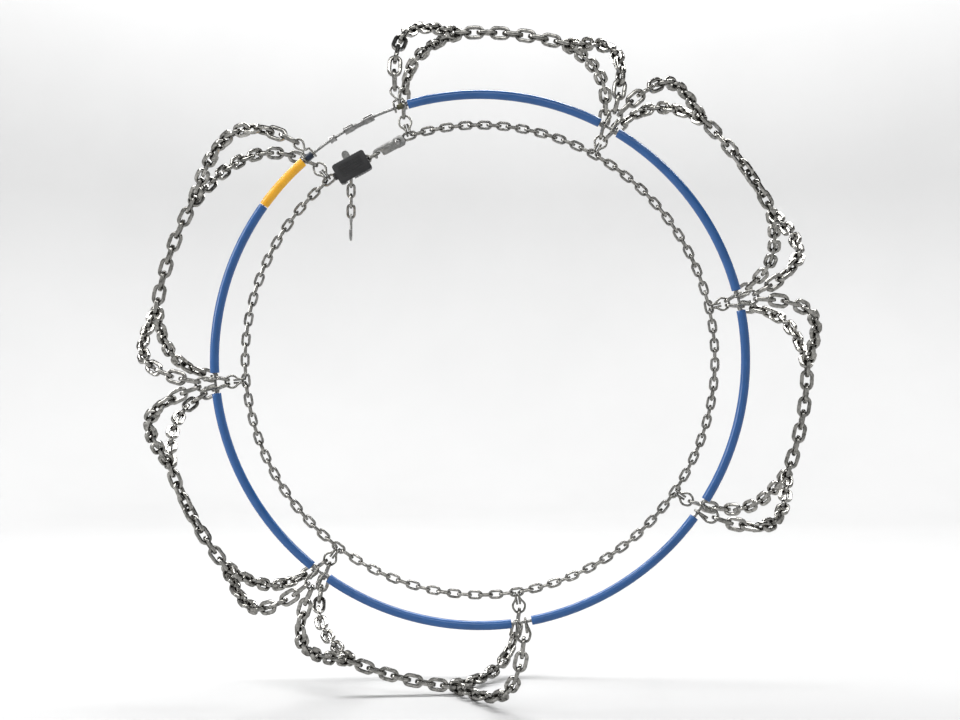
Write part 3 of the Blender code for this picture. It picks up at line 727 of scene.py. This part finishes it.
def build_bushes():
    sizes = (
        ("first_bush", 0, 7.0 * MM, 2.9 * MM, dull_brass, "dull_brass"),
        ("last_bush", 7, 8.4 * MM, 4.1 * MM, navy_plastic, "navy_plastic"),
    )
    for name, clip, length, radius, material, slot in sizes:
        place = turned_frame(CLIP_ANGLES[clip], HOOP_RADIUS, -SIDE_Y)
        outline = tube_outline(length, radius, 1.8 * MM, 0.6 * MM)
        turned(f"{name}_body", outline, 28, material, NET, slot, [name], place)


# ---------------------------------------------------------------- clips


def curl(core, radius, leg):
    """Half a turn of wire under a rope along X, from its front to behind it."""
    reach = core + CURL_GAP + radius
    turns = np.radians([0, -36, -72, -108, -144, -180])
    return [(leg, reach * math.cos(a), reach * math.sin(a)) for a in turns]


def mirrored(half, top):
    return half + [(0, 0, top)] + [(-x, f, z) for x, f, z in half[::-1]]


def u_clip_points(core, leg):
    """Free ends in front of the rope, curls under it, and a wide bow that starts behind it."""
    front = core + CURL_GAP + CLIP_WIRE_R
    half = [(0.9 * leg, front, 11.5 * MM), (0.95 * leg, front, 6.0 * MM)]
    half += curl(core, CLIP_WIRE_R, leg)
    half += [
        (leg + 1.0 * MM, -0.8 * front, 4.5 * MM),
        (6.9 * MM, -0.5 * front, 10.0 * MM),
        (7.3 * MM, -0.3 * front, 14.5 * MM),
        (4.8 * MM, 0.0, 19.8 * MM),
    ]
    return mirrored(half, 21.4 * MM)


def end_clip_points(core):
    """Legs in front of the rope, a flat top across them, and a pear-shaped eye above it."""
    front = core + CURL_GAP + END_CLIP_WIRE_R
    half = curl(core, END_CLIP_WIRE_R, END_CLIP_LEG)[::-1]
    half += [
        (5.8 * MM, 0.9 * front, 5.4 * MM),
        (4.6 * MM, 0.7 * front, 7.0 * MM),
        (1.9 * MM, 0.6 * front, 7.6 * MM),
        (1.5 * MM, 0.5 * front, 9.4 * MM),
        (4.7 * MM, 0.2 * front, 15.5 * MM),
        (4.8 * MM, 0.0, 19.5 * MM),
        (2.6 * MM, 0.0, 22.0 * MM),
    ]
    return mirrored(half, 22.8 * MM)


def build_clips():
    for k, angle in enumerate(CLIP_ANGLES):
        if is_end(k):
            name, points, radius = f"end_clip_{k + 1}", end_clip_points(END_CLIP_CORE), END_CLIP_WIRE_R
        else:
            name, points, radius = f"cable_clip_{k + 1}", u_clip_points(CABLE_R, CLIP_LEG), CLIP_WIRE_R
        shape = wire([(x, -f, z) for x, f, z in points], radius)
        place = turned_frame(angle, HOOP_RADIUS, -SIDE_Y)
        make_piece(f"{name}_wire", *moved(shape, place), clip_steel, NET, "clip_wire", [name])
        name = f"side_clip_{k + 1}"
        shape = wire(u_clip_points(LIGHT_LINK[2] / 2, SIDE_CLIP_LEG), CLIP_WIRE_R)
        place = turned_frame(angle, SIDE_CLIP_RADIUS, SIDE_Y)
        make_piece(f"{name}_wire", *moved(shape, place), clip_steel, NET, "clip_wire", [name])


# ---------------------------------------------------------------- the outboard side


def build_side_chain():
    """From the first clip clockwise to the last, with a flat link under each clip."""
    jitter = 3
    places = []
    for here, there in zip(CLIP_ANGLES, CLIP_ANGLES[1:]):
        length = math.radians(here - there) * SIDE_CHAIN_RADIUS
        count = 2 * math.ceil(length / 2 / (LIGHT_LINK[0] - 2 * LIGHT_LINK[2]))
        for k in range(count + (there == CLIP_ANGLES[-1])):
            angle = here + (there - here) * k / count
            along = -np.cross(radial(angle), [0, 1.0, 0])
            middle = on_side(angle, SIDE_CHAIN_RADIUS, SIDE_Y)
            roll = 90 * k + random.uniform(-jitter, jitter)
            places.append((middle, along, np.array([0, 1.0, 0]), roll))
    links = set_links(LIGHT_LINK_SHAPE, places)
    make_piece("side_chain_links", *links, chain_steel, NET, "chain_steel", ["side_chain"])


def middle_of(name):
    low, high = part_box(name)
    return np.array((low + high) / 2)


def build_light_links():
    """The links of the tensioner and the tail, one piece each, where the frame has them."""
    clockwise = np.cross(radial(GAP_ANGLE), [0, 1.0, 0])
    outward, down = np.array([0, 1.0, 0]), np.array([0, 0, -1.0])
    placed = (
        ("tension_link_1", clockwise, 90, NET), ("tension_link_2", clockwise, 0, NET),
        ("exit_link", down, 90, NET), ("tail_link_1", down, 0, "tail_link_1"),
        ("tail_link_2", down, 90, "tail_link_2"), ("tail_link_3", down, 0, "tail_link_3"),
    )
    for name, along, roll, body in placed:
        links = set_links(LIGHT_LINK_SHAPE, [(middle_of(name), along, outward, roll)])
        make_piece(f"{name}_wire", *links, chain_steel, body, "chain_steel", [name])


def axis_of(body):
    """A point on the axis that the body turns on."""
    return np.array(next(joint["pos_m"] for joint in frame["joints"] if joint["child"] == body))


def gap_frame_at(body):
    """On the body's axis, with local X clockwise along the gap and Z square to it."""
    return Matrix.Translation(axis_of(body)) @ Matrix.Rotation(math.radians(90 - GAP_ANGLE), 4, "Y")


def build_end_hook():
    """One wire from its eye, down the shank and round the bend. Points are from the hook's axis."""
    eye = arc(0, -0.75 * MM, 4.25 * MM, -50, 222, 16)
    shank = [(-1.0 * MM, -6.6 * MM), (0, -9.0 * MM), (0, -20.0 * MM)]
    bend = arc(-6.0 * MM, -21.0 * MM, 6.0 * MM, 0, -180, 12)
    flat = np.concatenate([eye, shank, bend, [(-13.2 * MM, -15.5 * MM)]])
    points = np.column_stack([np.zeros(len(flat)), flat]) + axis_of("end_hook")
    shape = wire(points, LIGHT_LINK[2] / 2, steps=3)
    make_piece("end_hook_wire", *shape, plate_steel, "end_hook", "plate_steel", ["end_hook"])


def rounded_outline(points, rounds=3):
    """The outline with its corners cut round."""
    points = np.asarray(points, float)
    for _ in range(rounds):
        after = np.roll(points, -1, axis=0)
        pairs = np.stack([0.75 * points + 0.25 * after, 0.25 * points + 0.75 * after], axis=1)
        points = pairs.reshape(-1, 2)
    return points


def plate_shape(outline, back, front, edge):
    """A plate with an outline in XZ, from back to front along Y, with eased edges."""
    outline = np.asarray(outline, float)
    after, before = np.roll(outline, -1, axis=0), np.roll(outline, 1, axis=0)
    along = unit(after - before)
    turning = np.sum(outline[:, 0] * after[:, 1] - outline[:, 1] * after[:, 0])
    inward = np.sign(turning) * np.stack([-along[:, 1], along[:, 0]], axis=1)
    levels = [(back, edge), (back + 0.3 * edge, 0.3 * edge), (back + edge, 0.0)]
    levels += [(front - edge, 0.0), (front - 0.3 * edge, 0.3 * edge), (front, edge)]
    verts = [[x, y, z] for y, inset in levels for x, z in outline + inset * inward]
    sides = len(outline)
    last = (len(levels) - 1) * sides
    ends = [list(range(sides))[::-1], [last + j for j in range(sides)]]
    return np.array(verts), ring_faces(len(levels), sides, False) + ends


def rounded_box(low, high, corner, edge):
    """A box with corners rounded in the XZ plane, and eased front and back edges."""
    (x0, y0, z0), (x1, y1, z1) = low, high
    left, right, bottom, top = x0 + corner, x1 - corner, z0 + corner, z1 - corner
    corners = ((right, bottom), (right, top), (left, top), (left, bottom))
    outline = [arc(x, z, corner, 90 * k - 90, 90 * k, 6) for k, (x, z) in enumerate(corners)]
    return plate_shape(np.concatenate(outline), y0, y1, edge)


def bar(start, end, radius):
    """A round bar with rounded ends."""
    return wire([start, (np.array(start) + np.array(end)) / 2, end], radius, sides=10, steps=2)


def build_housing():
    """A moulded tray, open to the front, with grooves on its back and ribs on its long sides."""
    place = turned_frame(GAP_ANGLE, GAP_RADIUS, SIDE_Y)
    start, end, half, back, front, floor = np.array([-46.0, -2.0, 13.0, -8.0, 9.0, -6.2]) * MM
    end_wall, side_wall, open_front = 4.0 * MM, 3.0 * MM, 12.0 * MM
    body = moved(rounded_box((start, back, -half), (end, front, half), 3.5 * MM, 0.9 * MM), place)
    low, high = (start + end_wall, floor, side_wall - half), (end - end_wall, open_front, half - side_wall)
    cutters = [
        rounded_box(low, high, 2 * MM, 0.5 * MM),
        box_shape((end - 5 * MM, floor, -6.4 * MM), (3 * MM, open_front, 6.4 * MM)),
        box_shape((-37.5 * MM, floor, -16 * MM), (-27.5 * MM, open_front, -9 * MM)),
    ]
    groove = 0.7
    for z in (-7.0, -3.5, 0.0, 3.5, 7.0):
        low = (start + 7 * MM, -9 * MM, (z - groove) * MM)
        high = (end - 7 * MM, back + groove * MM, (z + groove) * MM)
        cutters.append(rounded_box(low, high, 0.6 * MM, 0.1 * MM))
    cut_smooth(
        "tensioner_housing_body", body, [moved(cutter, place) for cutter in cutters],
        black_plastic, NET, "black_plastic", ["tensioner_housing"],
    )

    low, high = (start - 3.2 * MM, -3 * MM, -4.5 * MM), (start + 2 * MM, 3 * MM, 4.5 * MM)
    ribs = [rounded_box(low, high, 1.2 * MM, 0.6 * MM)]
    inset, rib_r = 2.5 * MM, 0.75 * MM
    for x in np.arange(-41.0, -6.0, 3.5) * MM:
        for z in (-half, half):
            if z > 0 or not -39.5 * MM < x < -25.5 * MM:
                ribs.append(bar((x, back + inset, z), (x, front - inset, z), rib_r))
    ribs = moved(joined(ribs), place)
    make_piece("tensioner_housing_ribs", *ribs, black_plastic, NET, "black_plastic")


def cylinder_shape(radius, half, sides=24):
    """A cylinder about X."""
    turn = np.arange(sides) * 2 * np.pi / sides
    rings = [[(x, radius * math.cos(a), radius * math.sin(a)) for a in turn] for x in (-half, half)]
    ends = [list(range(sides))[::-1], list(range(sides, 2 * sides))]
    return np.array(rings).reshape(-1, 3), ring_faces(2, sides, False) + ends


def build_clevis():
    """The fork at the side chain's end, with the shank of the rivet across it."""
    place = gap_frame_at("closing_hook")
    along_rivet = Matrix.Rotation(math.radians(90), 4, "Z")
    fork = rounded_box((-5.5 * MM, -4.8 * MM, -6.5 * MM), (8.7 * MM, 4.8 * MM, 6.5 * MM), 4.0 * MM, 0.8 * MM)
    slot = box_shape((-7.0 * MM, -2.6 * MM, -8.0 * MM), (6.6 * MM, 2.6 * MM, 8.0 * MM))
    cut_smooth(
        "hook_clevis_fork", moved(fork, place), [moved(slot, place)],
        plate_steel, NET, "plate_steel", ["hook_clevis"],
    )
    shank = tube_outline(5.8 * MM, RIVET_R, 0.3 * MM, 0.1 * MM)
    turned("clevis_rivet_shank", shank, 24, bright_steel, NET, "plate_steel", [], place @ along_rivet)


def build_hook():
    """The plate hook that turns on the rivet: round its eye, out to the tip, and back past the seat."""
    place = gap_frame_at("closing_hook")
    along_rivet = Matrix.Rotation(math.radians(90), 4, "Z")
    eye = arc(0, 0, 6.2 * MM, -90, 90, 8)
    seat = arc(-27.0 * MM, 0, 2.8 * MM, 180, 0, 6)
    tip = [(-28.0, 6.2), (-32.5, 5.0), (-35.0, 1.0), (-34.2, -4.0), (-32.0, -5.6), (-30.0, -4.4)]
    heel = [(-23.6, -2.0), (-23.4, -5.4), (-20.0, -6.2)]
    outline = np.concatenate([eye, np.array(tip) * MM, seat, np.array(heel) * MM])
    plate = plate_shape(rounded_outline(outline, 2), -2.2 * MM, 2.2 * MM, 0.5 * MM)
    bore = moved(cylinder_shape(HOOK_BORE_R, 4 * MM), place @ along_rivet)
    cut_smooth(
        "closing_hook_plate", moved(plate, place), [bore],
        plate_steel, "closing_hook", "plate_steel", ["closing_hook"],
    )


def build_hook_details():
    """Domed rivet heads on the clevis, a pressed rib along the hook, and thumb ridges on the cam's lever."""
    place = gap_frame_at("closing_hook")
    rim, base, height, middle = 4.3 * MM, 4.6 * MM, 2.5 * MM, 0.2 * MM
    rise = np.radians(np.linspace(0, 84, 8))
    dome = [(base, middle), (base, rim)]
    dome += [(base + height * math.sin(a), rim * math.cos(a)) for a in rise[1:]] + [(base + height, middle)]
    for number, side in enumerate((90, -90), 1):
        head = place @ Matrix.Rotation(math.radians(side), 4, "Z")
        turned(f"clevis_rivet_head_{number}", dome, 24, bright_steel, NET, "plate_steel", [], head, 50)

    ribs = [bar((-23.0 * MM, y, 3.2 * MM), (-9.0 * MM, y, 1.2 * MM), 1.1 * MM) for y in (-1.9 * MM, 1.9 * MM)]
    ribs = moved(joined(ribs), place)
    make_piece("closing_hook_ribs", *ribs, plate_steel, "closing_hook", "plate_steel")

    half, face, ridge_r = 2.6 * MM, 12.4 * MM, 0.7 * MM
    ridges = [bar((-half, face, z * MM), (half, face, z * MM), ridge_r) for z in (13.5, 15.7, 17.9)]
    ridges = moved(joined(ridges), gap_frame_at("tensioner_cam"))
    make_piece("cam_lever_ridges", *ridges, plate_steel, "tensioner_cam", "plate_steel")


def dress_frame_nodes():
    """The frame's own cam and pin take rounded edges and the finished materials."""
    for name, material in (("tensioner_cam", plate_steel), ("cam_pin", bright_steel)):
        plate = frame["nodes"][name]
        plate.data.materials.clear()
        plate.data.materials.append(material)
        flat = plate.modifiers.new("flat", "DECIMATE")
        flat.decimate_type = "DISSOLVE"
        flat.angle_limit = math.radians(2)
        bevel = plate.modifiers.new("edges", "BEVEL")
        bevel.width = 0.5 * MM
        bevel.segments = 3
        bevel.limit_method = "ANGLE"
        bevel.angle_limit = math.radians(40)
        bevel.use_clamp_overlap = True
        plate.modifiers.new("shading", "WEIGHTED_NORMAL")


# ---------------------------------------------------------------- the studio


def build_camera():
    """Square on to the inboard side, as the photo was taken."""
    camera = bpy.data.cameras.new("camera")
    camera.lens = CAMERA_LENS
    camera.sensor_width = SENSOR_WIDTH
    obj = bpy.data.objects.new("camera", camera)
    obj.location = (0, -SIDE_Y - CAMERA_DISTANCE, 0)
    obj.rotation_euler = (math.radians(90), 0, 0)
    bpy.context.scene.collection.objects.link(obj)
    bpy.context.scene.camera = obj


def build_floor():
    """A round pale floor that turns up into a wall all round."""
    bend_radius, height, sides = 0.9, 1.65, 96
    bend = arc(STUDIO_RADIUS - bend_radius, bend_radius, bend_radius, -90, 0, 12)
    outline = np.concatenate([[(0.2, 0.0)], bend, [(STUDIO_RADIUS, height)]])
    level = cad_bounds[0][2] - FLOOR_CLEARANCE
    turn = np.arange(sides) * 2 * np.pi / sides
    verts = [[r * math.cos(a), r * math.sin(a), level + z] for r, z in outline for a in turn]
    mesh = bpy.data.meshes.new("floor")
    middle = [list(range(sides))[::-1]]
    mesh.from_pydata(verts, [], ring_faces(len(outline), sides, False) + middle)
    mesh.shade_smooth()
    material, tree, shader = new_material("floor")
    shader.inputs["Roughness"].default_value = 0.9
    pale = ramp_of(tree, noise_of(tree, 1.5), [(0.3, (0.40, 0.40, 0.40)), (0.7, (0.42, 0.42, 0.42))])
    tree.links.new(pale, shader.inputs["Base Color"])
    mesh.materials.append(material)
    floor = bpy.data.objects.new("floor", mesh)
    bpy.context.scene.collection.objects.link(floor)


def add_light(name, location, target, size, power):
    light = bpy.data.lights.new(name, "AREA")
    light.shape = "RECTANGLE"
    light.size, light.size_y = size
    light.energy = power
    obj = bpy.data.objects.new(name, light)
    obj.location = location
    obj.rotation_euler = (Vector(target) - Vector(location)).to_track_quat("-Z", "Y").to_euler()
    obj.visible_camera = False
    bpy.context.scene.collection.objects.link(obj)


def build_lights():
    """Wide soft boxes above, in front and at the left, and four more that face the wall."""
    add_light("overhead", location=(0, 0.75, 1.6), target=CENTRE, size=(3.6, 0.4), power=97)
    add_light("front", location=(-0.2, -1.9, 1.6), target=CENTRE, size=(2.6, 0.5), power=20)
    add_light("left", location=(-2.0, -0.7, 1.0), target=CENTRE, size=(0.5, 1.8), power=36)
    for turn, power in ((0, 164), (90, 60), (180, 60), (270, 60)):
        way = np.array([math.sin(math.radians(turn)), math.cos(math.radians(turn))])
        location, target = (*way * 1.9, 2.5), (*way * STUDIO_RADIUS, 1.4)
        add_light(f"wall_{turn}", location, target, size=(4.0, 0.6), power=power)
    world = bpy.data.worlds.new("world")
    world.use_nodes = True
    background = world.node_tree.nodes["Background"]
    background.inputs["Color"].default_value = (0.93, 0.95, 1.0, 1)
    background.inputs["Strength"].default_value = 0.09
    bpy.context.scene.world = world
    bpy.context.scene.view_settings.view_transform = "Standard"


build_camera()
build_cable()
build_sleeves()
build_lock()
build_bushes()
build_clips()
build_net()
build_side_chain()
build_light_links()
build_end_hook()
build_housing()
build_clevis()
build_hook()
build_hook_details()
dress_frame_nodes()
build_floor()
build_lights()
